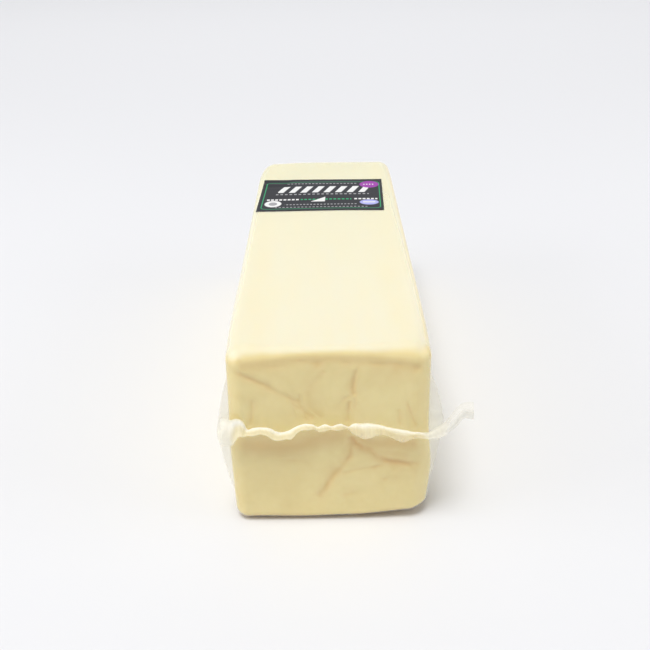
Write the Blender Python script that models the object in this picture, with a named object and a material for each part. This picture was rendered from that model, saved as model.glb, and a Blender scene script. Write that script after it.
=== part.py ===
"""A loaf of aged cheddar, shrink wrapped in a clear pouch, with a label on top.

The loaf lies along Y. The end that carries the wavy seal with the loose tail
faces -Y. Lengths are in metres, +Z is up, and the origin is the middle of the
flat underside.
"""
import math

import bmesh
import bpy
from mathutils import Vector

MM = 0.001

# The loaf: a five pound block, cut square and pressed tight by its film.
LOAF_LENGTH = 282 * MM
LOAF_WIDTH = 89.4 * MM
LOAF_HEIGHT = 91.7 * MM
EDGE_RADIUS = 5 * MM
UPRIGHT_EXTRA = 2.5 * MM
CORNER_REACH = 34 * MM
# How much rounder than the edges each corner is: (x side, y side, z side).
CORNER_EXTRA = {
    (-1, -1, 1): 1.5 * MM,
    (1, -1, 1): 1 * MM,
    (-1, -1, -1): -1 * MM,
    (1, -1, -1): 1.5 * MM,
    (-1, 1, 1): 3 * MM,
    (1, 1, 1): -0.5 * MM,
    (-1, 1, -1): 0.5 * MM,
    (1, 1, -1): 1.5 * MM,
}
# How each long side bellies out: all over, then a bulge's depth, height and spread.
SIDE_SWELL = {
    -1: (0 * MM, 0.9 * MM, 38 * MM, 24 * MM),
    1: (0.9 * MM, 1.7 * MM, 27 * MM, 14 * MM),
}
# How far the near end's underside is off the table: from x, to x, and how much.
FRONT_LIFTS = (
    (-44 * MM, -30 * MM, 0.4 * MM),
    (-11 * MM, 6 * MM, 0.9 * MM),
    (0 * MM, 45 * MM, 0.4 * MM),
)
LIFT_START = 107 * MM
TOP_WAVE = 0.3 * MM
TOP_WAVE_X = 19 * MM
TOP_WAVE_Y = 31 * MM
# Relief fades out round the edges by this power of how squarely a face looks out.
EDGE_FADE = 4

# Mesh density of the loaf, as cells between the rounded edges.
CELLS_X = 14
CELLS_Y = 14
CELLS_Z = 14
FRONT_CUTS = 2
REAR_CUTS = 1
ROUNDING_STEPS = (0 * MM, 2.9 * MM, 5.6 * MM, 8.4 * MM)

# Creases pressed into each end: depth, half width, then (x, z) along it, in mm.
FRONT_CREASES = (
    (0.7, 2.4, ((-29, 85), (-13, 85), (3, 86), (17, 84), (38, 81.5))),
    (0.8, 2.2, ((-39, 80), (-24, 72.5), (-12.5, 65), (-6, 56.5))),
    (0.9, 1.9, ((12.5, 84), (10.8, 73), (9.5, 66), (8.8, 55))),
    (0.5, 2.4, ((-2, 80), (-8, 69), (-4, 58))),
    (0.6, 4.0, ((-38, 46.5), (-22, 44), (-14, 47))),
    (0.7, 4.2, ((10, 47), (24, 43), (38, 42.5))),
    (1.2, 2.7, ((8.8, 50), (10.3, 44), (9.4, 37), (2.8, 26.5), (-4, 15))),
    (1.6, 2.6, ((10.3, 45), (14, 41), (19, 39.5))),
    (1.0, 2.8, ((17.5, 40), (26, 33.3), (34, 32))),
    (0.4, 1.8, ((3.5, 26.5), (14, 29), (25, 32))),
    (0.4, 2.2, ((-30, 37), (-10, 34.2))),
)
REAR_CREASES = (
    (0.7, 2.6, ((-24, 82), (-8, 84), (20, 83), (33, 80))),
    (1.2, 2.2, ((-14, 50), (-11, 62), (2, 74), (8, 84))),
    (1.4, 2.6, ((-14, 44), (-22, 34), (-36, 28))),
    (0.8, 2.0, ((16, 44), (20, 30), (30, 17))),
    (0.6, 2.2, ((38, 72), (24, 62), (17, 53))),
)

# The film: thicker here than the real 0.1 mm, so that it is a sound solid.
FILM_THICKNESS = 0.7 * MM
CLEARANCE = 0.35 * MM
SEAM_STEPS = 92
SEAM_ROWS = 2
SEAM_WAVE = 0.3 * MM
SEAM_WAVE_COUNT = 17
EAR_SET_BACK = 5.2 * MM
EAR_ROWS = 12
EAR_LEAST_WIDTH = 0.5 * MM

# Seal stations from left to right, in mm: the root's x and z, the free edge's x and
# z, and how far each of the two stands out of the end face. Past the upright edges
# the root steps back to meet the ears.
FRONT_SEAM = (
    (-48.9, 51.0, -49.3, 51.5, -6.2, 1.5),
    (-48.2, 55.0, -48.7, 49.0, -4.5, 3.5),
    (-46.2, 57.8, -46.6, 47.0, -1.0, 4.5),
    (-43.2, 58.0, -43.2, 46.8, 0.8, 5.0),
    (-40.2, 58.3, -40.7, 50.4, 0.6, 5.5),
    (-37.7, 56.4, -38.8, 52.4, 0.0, 6.0),
    (-35.9, 52.2, -36.4, 52.8, 0.0, 6.0),
    (-33.4, 52.9, -33.6, 52.4, 0.0, 6.0),
    (-30.0, 53.2, -29.8, 53.9, 0.0, 6.0),
    (-26.0, 52.6, -27.0, 52.2, 0.0, 6.0),
    (-23.2, 50.9, -23.8, 50.4, 0.0, 6.0),
    (-20.4, 50.4, -20.0, 50.2, 0.0, 6.0),
    (-17.1, 51.6, -16.6, 51.0, 0.0, 6.0),
    (-14.0, 53.4, -13.8, 53.6, 0.0, 6.0),
    (-10.4, 54.5, -10.6, 55.2, 0.0, 6.0),
    (-4.8, 53.4, -4.8, 54.9, 0.0, 6.0),
    (1.6, 53.4, 1.4, 54.9, 0.0, 6.0),
    (8.6, 53.2, 8.4, 55.0, 0.0, 6.0),
    (14.0, 54.3, 13.6, 51.0, 0.0, 6.5),
    (17.6, 54.4, 17.6, 50.5, 0.0, 6.5),
    (22.2, 53.5, 22.6, 51.7, 0.0, 6.0),
    (26.2, 52.1, 25.8, 51.5, 0.0, 6.0),
    (29.7, 51.2, 29.0, 49.2, 0.0, 6.0),
    (33.7, 50.4, 32.8, 48.4, 0.0, 6.0),
    (37.4, 49.4, 37.2, 49.4, 0.0, 6.0),
    (41.4, 48.6, 41.2, 49.6, -0.5, 5.5),
    (45.0, 46.8, 44.8, 48.8, -3.5, 5.0),
    (48.0, 47.6, 48.6, 49.4, -6.2, 4.5),
    (51.2, 54.4, 52.4, 50.8, 0.0, 4.0),
    (54.2, 60.8, 55.4, 54.2, 2.0, 4.0),
    (57.4, 65.2, 58.2, 58.0, 2.5, 4.0),
    (60.2, 66.2, 60.6, 58.6, 2.5, 4.0),
    (62.8, 66.0, 63.2, 58.2, 2.5, 4.0),
)
REAR_SEAM = (
    (-48.6, 48.5, -48.0, 51.0, -6.2, 3.0),
    (-45.0, 46.6, -44.6, 48.2, -3.5, 5.0),
    (-41.0, 46.0, -40.5, 46.6, -0.5, 6.0),
    (-36.0, 46.2, -36.0, 45.6, 0.0, 7.0),
    (-30.0, 48.2, -30.0, 48.4, 0.0, 6.0),
    (-22.0, 49.4, -22.0, 48.4, 0.0, 7.5),
    (-14.0, 47.4, -14.0, 47.8, 0.0, 6.5),
    (-5.0, 46.2, -5.0, 45.4, 0.0, 7.0),
    (4.0, 47.2, 4.0, 47.0, 0.0, 6.5),
    (12.0, 49.4, 12.0, 48.6, 0.0, 7.5),
    (21.0, 49.0, 21.0, 49.6, 0.0, 6.0),
    (29.0, 46.6, 29.0, 46.0, 0.0, 7.0),
    (36.0, 46.6, 36.0, 47.0, 0.0, 6.5),
    (41.4, 47.8, 40.8, 47.8, -0.5, 6.0),
    (45.4, 48.6, 45.0, 47.6, -3.5, 5.0),
    (49.0, 48.0, 48.4, 45.8, -6.2, 3.0),
)
# Ears: side, z where each starts and ends, z and x of its point, all in mm, and how
# full it is, from a peak at its point to an even arc.
FRONT_EARS = (
    (-1, 17, 75, 47.5, 50.9, 0.5),
    (1, 22, 75.5, 52.5, 51.6, 0.85),
)
REAR_EARS = (
    (-1, 24, 70, 46.5, 49.7, 0.6),
    (1, 22, 69, 46.0, 49.9, 0.6),
)

# The label, lying on the film near the far end.
LABEL_WIDTH = 77.5 * MM
LABEL_DEPTH = 62.0 * MM
LABEL_THICKNESS = 0.4 * MM
LABEL_MIDDLE = (-2.0 * MM, 63.9 * MM)
LABEL_TURN = math.radians(-1.6)
LABEL_CELLS = (14, 11)
LABEL_PUCKER = 1.5 * MM
# The pucker spans these shares of the width and depth, from the label's middle.
PUCKER_ACROSS = (0.22, 0.32)
PUCKER_DEEP = (0.1, 0.5)

PALE_CHEESE = (0.87, 0.77, 0.49, 1.0)
CLEAR_FILM = (0.92, 0.92, 0.86, 1.0)
CHARCOAL = (0.045, 0.045, 0.052, 1.0)


def clear_scene():
    """Empty the open file, without closing it."""
    for thing in list(bpy.data.objects):
        bpy.data.objects.remove(thing, do_unlink=True)


def make_material(name, colour, roughness, alpha=1.0):
    """A plain surface finish."""
    material = bpy.data.materials.new(name)
    material.use_nodes = True
    shader = material.node_tree.nodes["Principled BSDF"]
    shader.inputs["Base Color"].default_value = colour
    shader.inputs["Roughness"].default_value = roughness
    shader.inputs["Metallic"].default_value = 0.0
    shader.inputs["Alpha"].default_value = alpha
    return material


def add_object(name, mesh, material):
    """Put a mesh in the scene under its own name."""
    thing = bpy.data.objects.new(name, mesh)
    bpy.context.scene.collection.objects.link(thing)
    thing.data.materials.append(material)
    return thing


def ease(value, low, high):
    """0 below low, 1 above high, and smooth between."""
    share = min(max((value - low) / (high - low), 0.0), 1.0)
    return share * share * (3 - 2 * share)


def grid_lines(half, cells):
    """Cuts along one axis: close in the rounded edges, even between them."""
    lows = [-half + step for step in ROUNDING_STEPS]
    highs = [-low for low in reversed(lows)]
    span = highs[0] - lows[-1]
    inner = [lows[-1] + span * step / cells for step in range(1, cells)]
    return lows + inner + highs


def corner_radius(point):
    """The rounding at a point of the box: larger at upright edges and some corners."""
    halves = (LOAF_WIDTH / 2, LOAF_LENGTH / 2, LOAF_HEIGHT / 2)
    upright = 1.0
    for value, half in zip(point[:2], halves):
        upright *= ease(abs(value), half - CORNER_REACH, half)
    radius = EDGE_RADIUS + UPRIGHT_EXTRA * upright
    for sides, extra in CORNER_EXTRA.items():
        share = 1.0
        for value, half, side in zip(point, halves, sides):
            share *= ease(side * value, half - CORNER_REACH, half)
        radius += extra * share
    return radius


def distance_to_path(x, z, path):
    """How far a point of an end face is from a crease."""
    spot = Vector((x, z))
    nearest = math.inf
    for start, end in zip(path, path[1:]):
        start = Vector(start)
        along = Vector(end) - start
        share = (spot - start).dot(along) / along.length_squared
        foot = start + along * min(max(share, 0.0), 1.0)
        nearest = min(nearest, (spot - foot).length)
    return nearest


def crease_depth(x, z, creases):
    """How far the film pulls the end face in at a point, in metres."""
    deepest = 0.0
    for depth, half_width, path in creases:
        reach = distance_to_path(x / MM, z / MM, path) / half_width
        deepest = max(deepest, depth * math.exp(-reach * reach))
    return deepest * MM


def side_bulge(side, z):
    """How far a long side bellies out at a height."""
    swell, bulge, height, spread = SIDE_SWELL[side]
    offset = (z - height) / spread
    return swell + bulge * math.exp(-offset * offset)


def top_wave(x, y):
    """Slow unevenness of the cut top."""
    return TOP_WAVE * math.sin(x / TOP_WAVE_X + 0.8) * math.sin(y / TOP_WAVE_Y + 0.4)


def front_lift(x, y):
    """How far the underside is off the table, most at the front right corner."""
    rise = sum(lift * ease(x, start, end) for start, end, lift in FRONT_LIFTS)
    return rise * ease(-y, LIFT_START, LOAF_LENGTH / 2)


def shape_loaf_point(point):
    """Move a point of the square box on to the loaf's surface."""
    halves = (LOAF_WIDTH / 2, LOAF_LENGTH / 2, LOAF_HEIGHT / 2)
    radius = corner_radius(point)
    core = Vector([
        min(max(value, radius - half), half - radius)
        for value, half in zip(point, halves)
    ])
    outward = (point - core).normalized()
    x, y, z = core + outward * radius
    z += LOAF_HEIGHT / 2
    side = 1 if x > 0 else -1
    x += side * outward.x ** 2 * side_bulge(side, z)
    z += max(outward.z, 0.0) ** EDGE_FADE * top_wave(x, y)
    z += max(-outward.z, 0.0) * front_lift(x, y)
    if outward.y < 0:
        y += abs(outward.y) ** EDGE_FADE * crease_depth(x, z, FRONT_CREASES)
    else:
        y -= outward.y ** EDGE_FADE * crease_depth(x, z, REAR_CREASES)
    return Vector((x, y, z))


def make_loaf(material):
    """The cheese in its skin-tight film: a rounded, creased block."""
    axes = (
        grid_lines(LOAF_WIDTH / 2, CELLS_X),
        grid_lines(LOAF_LENGTH / 2, CELLS_Y),
        grid_lines(LOAF_HEIGHT / 2, CELLS_Z),
    )
    shape = bmesh.new()
    bmesh.ops.create_cube(shape, size=2.0)
    for vert in shape.verts:
        vert.co = Vector([axis[-1] * value for axis, value in zip(axes, vert.co)])
    for number, axis in enumerate(axes):
        normal = Vector((0.0, 0.0, 0.0))
        normal[number] = 1.0
        for cut in axis[1:-1]:
            everything = shape.verts[:] + shape.edges[:] + shape.faces[:]
            bmesh.ops.bisect_plane(
                shape, geom=everything, plane_co=normal * cut, plane_no=normal)
    refine_end(shape, axes, -1, FRONT_CUTS)
    refine_end(shape, axes, 1, REAR_CUTS)
    for vert in shape.verts:
        vert.co = shape_loaf_point(vert.co)
    for face in shape.faces:
        face.smooth = True
    mesh = bpy.data.meshes.new("cheese_block")
    shape.to_mesh(mesh)
    shape.free()
    return add_object("cheese_block", mesh, material)


def refine_end(shape, axes, end, cuts):
    """Split a creased end face finer than the plain sides."""
    inner_x = axes[0][-len(ROUNDING_STEPS)]
    inner_z = axes[2][-len(ROUNDING_STEPS)]

    def is_creased(face):
        middle = face.calc_center_median()
        level = abs(middle.x) < inner_x and abs(middle.z) < inner_z
        return level and end * face.normal.y > 0.9

    edges = [edge for edge in shape.edges if any(map(is_creased, edge.link_faces))]
    bmesh.ops.subdivide_edges(shape, edges=edges, cuts=cuts, use_grid_fill=True)


def smooth_path(stations, count):
    """Points at even steps on a smooth curve through the stations."""
    last = len(stations) - 1
    points = []
    for step in range(count + 1):
        place = last * step / count
        index = min(int(place), last - 1)
        share = place - index
        around = [stations[min(max(index + shift, 0), last)] for shift in (-1, 0, 1, 2)]
        points.append([catmull_rom(values, share) for values in zip(*around)])
    return points


def catmull_rom(values, share):
    """The smooth value between the middle two of four."""
    before, start, end, after = values
    return start + 0.5 * share * (
        end - before + share * (
            2 * before - 5 * start + 4 * end - after
            + share * (3 * (start - end) + after - before)))


def make_sheet(name, rows):
    """A thin closed plate through a grid of points."""
    shape = bmesh.new()
    grid = [[shape.verts.new(point) for point in row] for row in rows]
    for near, far in zip(grid, grid[1:]):
        for column in range(len(near) - 1):
            shape.faces.new((near[column], near[column + 1], far[column + 1], far[column]))
    mesh = bpy.data.meshes.new(name)
    shape.to_mesh(mesh)
    shape.free()
    return mesh


def thicken(thing, thickness, offset=0.0):
    """Give a sheet its thickness for good."""
    modifier = thing.modifiers.new("thickness", "SOLIDIFY")
    modifier.thickness = thickness
    modifier.offset = offset
    apply_modifiers(thing)


def apply_modifiers(thing):
    """Replace an object's mesh by its finished shape."""
    graph = bpy.context.evaluated_depsgraph_get()
    finished = bpy.data.meshes.new_from_object(thing.evaluated_get(graph))
    thing.modifiers.clear()
    thing.data = finished


def make_seam(name, stations, end, material):
    """The flat seal that stands out of one end of the loaf."""
    root_plane = LOAF_LENGTH / 2 + CLEARANCE + FILM_THICKNESS / 2
    rows = []
    for step, station in enumerate(smooth_path(stations, SEAM_STEPS)):
        root_x, root_z, free_x, free_z, root_out, free_out = [
            value * MM for value in station]
        root = Vector((root_x, end * (root_plane + root_out), root_z))
        free = Vector((free_x, end * (root_plane + free_out), free_z))
        wave = SEAM_WAVE * math.sin(math.tau * SEAM_WAVE_COUNT * step / SEAM_STEPS)
        row = []
        for number in range(SEAM_ROWS + 1):
            share = number / SEAM_ROWS
            point = root.lerp(free, share)
            point.z += wave * share
            row.append(point)
        rows.append(row)
    seam = add_object(name, make_sheet(name, rows), material)
    thicken(seam, FILM_THICKNESS)
    return seam


def make_ear(name, ear, end, material):
    """The web of loose film that stands out of the loaf's upright edge."""
    side, *sizes, full = ear
    low, high, point_z, point_x = [value * MM for value in sizes]
    plane = LOAF_LENGTH / 2 - EAR_SET_BACK
    rows = []
    for step in range(EAR_ROWS + 1):
        z = low + (high - low) * step / EAR_ROWS
        inner = edge_reach(side, end, z) + CLEARANCE
        if z < point_z:
            share = (z - low) / (point_z - low)
        else:
            share = (high - z) / (high - point_z)
        flare = full * math.sin(share * math.pi / 2) + (1 - full) * share ** 2
        outer = inner + max(EAR_LEAST_WIDTH, (point_x - inner) * flare)
        rows.append([
            Vector((side * across, end * plane, z))
            for across in (inner, (inner + outer) / 2, outer)
        ])
    web = add_object(name, make_sheet(name, rows), material)
    thicken(web, FILM_THICKNESS)
    return web


def edge_reach(side, end, z):
    """How far out in x the upright edge is, just behind the ear's plate."""
    corner = Vector((side * LOAF_WIDTH / 2, end * LOAF_LENGTH / 2, z - LOAF_HEIGHT / 2))
    radius = corner_radius(corner)
    behind = EAR_SET_BACK + FILM_THICKNESS / 2 + CLEARANCE
    rise = math.sqrt(radius ** 2 - max(radius - behind, 0.0) ** 2)
    return LOAF_WIDTH / 2 - radius + rise + side_bulge(side, z)


def join_solids(target, others):
    """Fuse overlapping solids into one closed body."""
    tools = bpy.data.collections.new("tools")
    bpy.context.scene.collection.children.link(tools)
    for other in others:
        bpy.context.scene.collection.objects.unlink(other)
        tools.objects.link(other)
    modifier = target.modifiers.new("join", "BOOLEAN")
    modifier.operation = "UNION"
    modifier.operand_type = "COLLECTION"
    modifier.solver = "EXACT"
    modifier.collection = tools
    apply_modifiers(target)
    for other in others:
        bpy.data.objects.remove(other, do_unlink=True)
    bpy.data.collections.remove(tools)


def make_pouch_end(name, stations, ears, end, material):
    """One end's loose film: the seal with an ear at each upright edge."""
    seam = make_seam(name, stations, end, material)
    webs = [make_ear(f"ear_{ear[0]}", ear, end, material) for ear in ears]
    join_solids(seam, webs)
    return seam


def top_height(x, y):
    """The height of the loaf's top where the label lies."""
    past = max(0.0, abs(x) - (LOAF_WIDTH / 2 - EDGE_RADIUS))
    drop = EDGE_RADIUS - math.sqrt(EDGE_RADIUS ** 2 - past ** 2)
    return LOAF_HEIGHT + top_wave(x, y) - drop


def make_label(material):
    """The printed sheet, which follows the top and puckers at one corner."""
    across, deep = LABEL_CELLS
    rows = []
    for row in range(deep + 1):
        line = []
        for column in range(across + 1):
            u = column / across - 0.5
            v = row / deep - 0.5
            pucker = LABEL_PUCKER * ease(-u, *PUCKER_ACROSS) * ease(v, *PUCKER_DEEP)
            along = u * LABEL_WIDTH
            back = v * LABEL_DEPTH - pucker
            x = LABEL_MIDDLE[0] + along * math.cos(LABEL_TURN) - back * math.sin(LABEL_TURN)
            y = LABEL_MIDDLE[1] + along * math.sin(LABEL_TURN) + back * math.cos(LABEL_TURN)
            line.append(Vector((x, y, top_height(x, y) + CLEARANCE)))
        rows.append(line)
    label = add_object("label", make_sheet("label", rows), material)
    thicken(label, LABEL_THICKNESS, offset=1.0)
    return label


def main():
    clear_scene()
    cheese = make_material("cheese", PALE_CHEESE, 0.45)
    film = make_material("film", CLEAR_FILM, 0.22, alpha=0.4)
    ink = make_material("label", CHARCOAL, 0.4)
    make_loaf(cheese)
    make_pouch_end("film_front_seal", FRONT_SEAM, FRONT_EARS, -1, film)
    make_pouch_end("film_rear_seal", REAR_SEAM, REAR_EARS, 1, film)
    make_label(ink)


main()
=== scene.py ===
"""The looks of a vacuum-packed loaf of aged cheddar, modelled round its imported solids.

The loaf lies along Y in its clear film, with the label up. The end that the photograph
shows, with the loose tail of film, faces -Y. Lengths are in metres, and +Z is up.
"""
import math

import bmesh
import bpy
import numpy as np
from mathutils import Matrix, Vector, noise


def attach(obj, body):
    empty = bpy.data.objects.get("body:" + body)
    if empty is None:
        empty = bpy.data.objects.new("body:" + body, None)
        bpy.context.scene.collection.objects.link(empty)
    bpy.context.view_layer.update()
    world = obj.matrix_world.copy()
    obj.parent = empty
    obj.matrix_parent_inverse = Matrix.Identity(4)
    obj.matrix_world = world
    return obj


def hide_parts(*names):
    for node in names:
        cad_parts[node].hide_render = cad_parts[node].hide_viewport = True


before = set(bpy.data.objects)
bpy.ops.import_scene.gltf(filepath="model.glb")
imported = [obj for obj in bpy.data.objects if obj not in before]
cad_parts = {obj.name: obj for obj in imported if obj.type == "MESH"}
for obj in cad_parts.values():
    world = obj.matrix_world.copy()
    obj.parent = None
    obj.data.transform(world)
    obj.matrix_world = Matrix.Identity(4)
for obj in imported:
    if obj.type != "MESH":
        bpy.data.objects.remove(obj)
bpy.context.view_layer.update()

MM = 0.001
LEFT, RIGHT = -1, 1
FRONT, REAR = -1, 1

# The loaf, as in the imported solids.
LOAF_LENGTH = 282 * MM
LOAF_WIDTH = 89.4 * MM
LOAF_HEIGHT = 91.7 * MM
HALF = np.array((LOAF_WIDTH, LOAF_LENGTH, LOAF_HEIGHT)) / 2
# The rounding of the edges, what the upright ones have on top, and how far from its
# corner an upright or corner rounding starts.
EDGE_RADIUS = 5 * MM
UPRIGHT_EXTRA = 2.5 * MM
CORNER_REACH = 34 * MM
# How much rounder than the edges each corner is: (x side, y side, z side).
CORNER_EXTRA = {
    (-1, -1, 1): 1.5 * MM,
    (1, -1, 1): 1 * MM,
    (-1, -1, -1): -1 * MM,
    (1, -1, -1): 1.5 * MM,
    (-1, 1, 1): 3 * MM,
    (1, 1, 1): -0.5 * MM,
    (-1, 1, -1): 0.5 * MM,
    (1, 1, -1): 1.5 * MM,
}
# How each long side bellies out: all over, then a bulge's depth, height and spread.
SIDE_SWELL = {
    LEFT: (0 * MM, 0.9 * MM, 38 * MM, 24 * MM),
    RIGHT: (0.9 * MM, 1.7 * MM, 27 * MM, 14 * MM),
}
# How far the near end's underside is off the table: from x, to x, and how much.
FRONT_LIFTS = ((-44 * MM, -30 * MM, 0.5 * MM), (-11 * MM, 6 * MM, 0.6 * MM),
               (4 * MM, 42 * MM, 1.1 * MM))
# How far out along Y the lift starts.
LIFT_START = 107 * MM
# The cut top's slow waves: their height, their lengths, and where they start.
TOP_WAVE = 0.3 * MM
TOP_WAVE_X, TOP_WAVE_Y = 19 * MM, 31 * MM
TOP_WAVE_START = (0.8, 0.4)
# The power by which relief fades out round an edge.
EDGE_FADE = 4
FACE_WOBBLE = 0.16 * MM
WOBBLE_SIZE = 27 * MM

# Cells across the width, length and height, and how far they crowd to the edges.
LOAF_CELLS = (140, 96, 144)
LOAF_CROWDING = (0.15, 0.8, 0.15)
# The least share of an edge's length along an axis for it to count as running that way.
PARALLEL = 0.99
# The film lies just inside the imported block, and the cheese just inside the film.
FILM_INSET = 0.06 * MM
CHEESE_INSET = 0.42 * MM

# Where the painted sheen on the top starts round the edges, how uneven that line
# is, and how much further down it goes on the left.
SHEEN_START = 0.48
SHEEN_UNEVEN = 0.10
SHEEN_UNEVEN_SIZE = 12 * MM
SHEEN_LEFT_DROP = 0.34
SHEEN_LEFT_REACH = (34 * MM, 43 * MM)
SHEEN_BLEND = 0.42
# How much painted sheen lightens the top, and how that varies in streaks
# and drops in a band at each side.
TOP_SHEEN = 0.94
SHEEN_STREAKS = 0.12
STREAK_SIZE, FINE_STREAK_SIZE = 7 * MM, 3 * MM
SHEEN_SIDE_DROP = 0.16
BAND_PLACE, BAND_SPREAD = 34 * MM, 6 * MM
# How strong the painted shade on the underside is, over which slope, and how the painted sheen
# on the top dims towards the far end.
UNDER_SHADE = 0.8
UNDER_SLOPE = (0.3, 0.9)
SHEEN_FAR_FADE = 1.5

# Creases pressed into each end: depth, half width, then (x, z) along each, in mm.
FRONT_CREASES = (
    (0.35, 2.6, ((-34, 84.5), (-24, 83.5), (-16, 84.5), (-12, 86))),
    (0.60, 2.6, ((-12, 86), (-7, 86), (-4, 85), (1, 86.5), (4, 86), (9, 84.5), (14, 84.5),
                 (27, 83.5), (38, 81))),
    (0.35, 1.0, ((-16, 84.5), (-9, 84), (-3, 85.5))),
    (0.50, 1.6, ((-39, 80.5), (-33.5, 77.5), (-24.5, 72.5), (-18.4, 68.6))),
    (0.50, 1.5, ((-18.4, 68.6), (-15, 66.3), (-12.5, 65.5))),
    (0.40, 1.0, ((-17, 66.4), (-14, 63.3), (-10, 60.3), (-7, 57))),
    (0.45, 0.9, ((-12.5, 68.5), (-12.2, 64), (-10.6, 60.4), (-9.4, 56.5))),
    (0.25, 0.9, ((-14.6, 66), (-15, 61), (-13.8, 57.5))),
    (0.30, 0.9, ((-8.2, 62.6), (-5.4, 59.4), (-3.6, 57.6))),
    (1.00, 1.0, ((12.9, 83.5), (12.2, 80), (11.0, 76.6), (10.9, 72.5), (11.5, 68.9))),
    (0.40, 0.8, ((11.5, 68.9), (12, 65), (11.6, 62))),
    (0.35, 1.0, ((10.7, 68.7), (7.4, 67), (5.2, 65.2), (3.8, 63.4))),
    (0.80, 0.9, ((9.4, 64.5), (8.9, 60), (8.8, 56))),
    (0.22, 2.4, ((-2, 80), (-6, 75), (-8, 69), (-6.3, 62.3), (-3.8, 58.4))),
    (0.80, 1.6, ((8.7, 50), (10.2, 46), (10.8, 42.5))),
    (0.75, 1.2, ((10.6, 42.5), (9.6, 37), (6.9, 32.2), (4.4, 28.6))),
    (0.70, 1.7, ((4.4, 28.6), (1.2, 24.8), (-0.8, 22), (-2.0, 18.3), (-4.4, 14.6))),
    (1.35, 2.2, ((10.2, 46), (12.2, 43.2), (14.6, 41), (17.4, 38.8))),
    (1.05, 1.9, ((17.4, 38.8), (20.6, 36.4), (24, 34.4))),
    (0.95, 2.0, ((23.4, 34.6), (26.8, 33.2), (30.6, 32.2), (36, 31))),
    (0.60, 1.3, ((33, 31.4), (35.6, 32), (39.2, 31.2))),
    (0.45, 1.2, ((3.5, 26.5), (8.8, 27.6), (14.2, 29.2), (20.2, 29.8), (25, 32))),
    (0.22, 1.5, ((6.7, 14.7), (15.6, 17.1), (22.9, 20.3), (30.3, 24.2))),
    (0.60, 0.8, ((24.9, 22.9), (26.4, 24))),
    (0.30, 1.7, ((-37, 40), (-31, 38.4), (-22.9, 35.7), (-10.4, 34.2))),
    (0.40, 0.9, ((-33.2, 66), (-33.6, 60), (-34.4, 54.6))),
    (0.35, 0.9, ((34.7, 64), (36.6, 58), (38.6, 51.5))),
    (0.30, 0.8, ((30.6, 60), (31.6, 53.6))),
)
# Broad soft hollows under the seal and along the top, in the same terms; their depth also sets
# the painted shade tinted into them, which under the seal stands for the seal's shadow.
FRONT_SHADED_HOLLOWS = (
    (0.66, 4.8, ((-37, 43), (-30, 42.2), (-21, 41.6), (-13, 42.3), (-5, 45.5), (4, 47))),
    (0.68, 3.6, ((12, 45), (18, 43), (25, 42.5), (31, 43), (37, 42.5))),
    (0.40, 3.0, ((17, 41), (26, 38), (33, 36))),
    (0.40, 3.4, ((-36, 84), (-24, 84.5), (-12, 86.5), (4, 86.5), (20, 85), (38, 82))),
)
REAR_CREASES = (
    (0.60, 1.8, ((-24, 82), (-8, 84), (20, 83), (33, 80))),
    (0.95, 1.6, ((-14, 50), (-11, 62), (2, 74), (8, 84))),
    (1.10, 1.9, ((-14, 44), (-22, 34), (-36, 28))),
    (0.65, 1.5, ((16, 44), (20, 30), (30, 17))),
    (0.50, 1.6, ((38, 72), (24, 62), (17, 53))),
    (0.30, 1.3, ((-16, 38), (-10, 24), (-12, 12))),
)
# The depth, in mm, at which a crease or hollow has its full painted shade.
DEEPEST_CREASE = 1.15
# How far creases stray from their lines: (size of the waves, reach in mm).
CREASE_STRAYS = ((4.5 * MM, 0.5), (1.6 * MM, 0.28))
# How much creases come and go in depth and in width along their lines.
FAINT_MEAN, FAINT_RANGE, FAINT_SIZE = 0.9, 0.75, 6 * MM
BROAD_RANGE, BROAD_SIZE = 0.5, 9 * MM
# A crease's section, a narrow bell on a wide one: (share of depth, share of width).
CREASE_BELLS = ((0.6, 0.55), (0.4, 1.7))
# How deep and how wide the creases are in the cheese, in its painted shade and in the film.
CHEESE_CREASING = (1.0, 1.25)
SHADE_TINT_CREASING = (1.0, 1.3)
FILM_CREASING = (0.8, 1.3)

# Film gathered into ridges above and below a seal: how they lean and run on, their
# width, depth and haze, how far they go, and how much they fade to the middle.
GATHER_LEAN = 0.12
GATHER_RUN = 0.08
GATHER_SIZE = 2.6 * MM
GATHER_DEPTH = 0.10 * MM
GATHER_HAZE = 0.12
GATHER_REACH = 8 * MM
GATHER_GAP = 2.5 * MM
GATHER_SIDES = (12 * MM, 40 * MM)
MIDDLE_GATHERS = 0.35
# The film's rise right along the seal.
TENT_RISE = 0.5 * MM
TENT_SPREAD = 1.2 * MM
# Film rumpled at the ends' edges, in mm: ripples, longer lines, and the deepest dip.
RIPPLE_RISE, RIPPLE_SIZE, RIPPLE_REACH = 0.20, 5.5 * MM, 9 * MM
LINE_RISE, LINE_SIZE, LINE_REACH = 0.05, 3.2 * MM, 24 * MM
RIPPLE_DIP = -0.12

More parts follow.
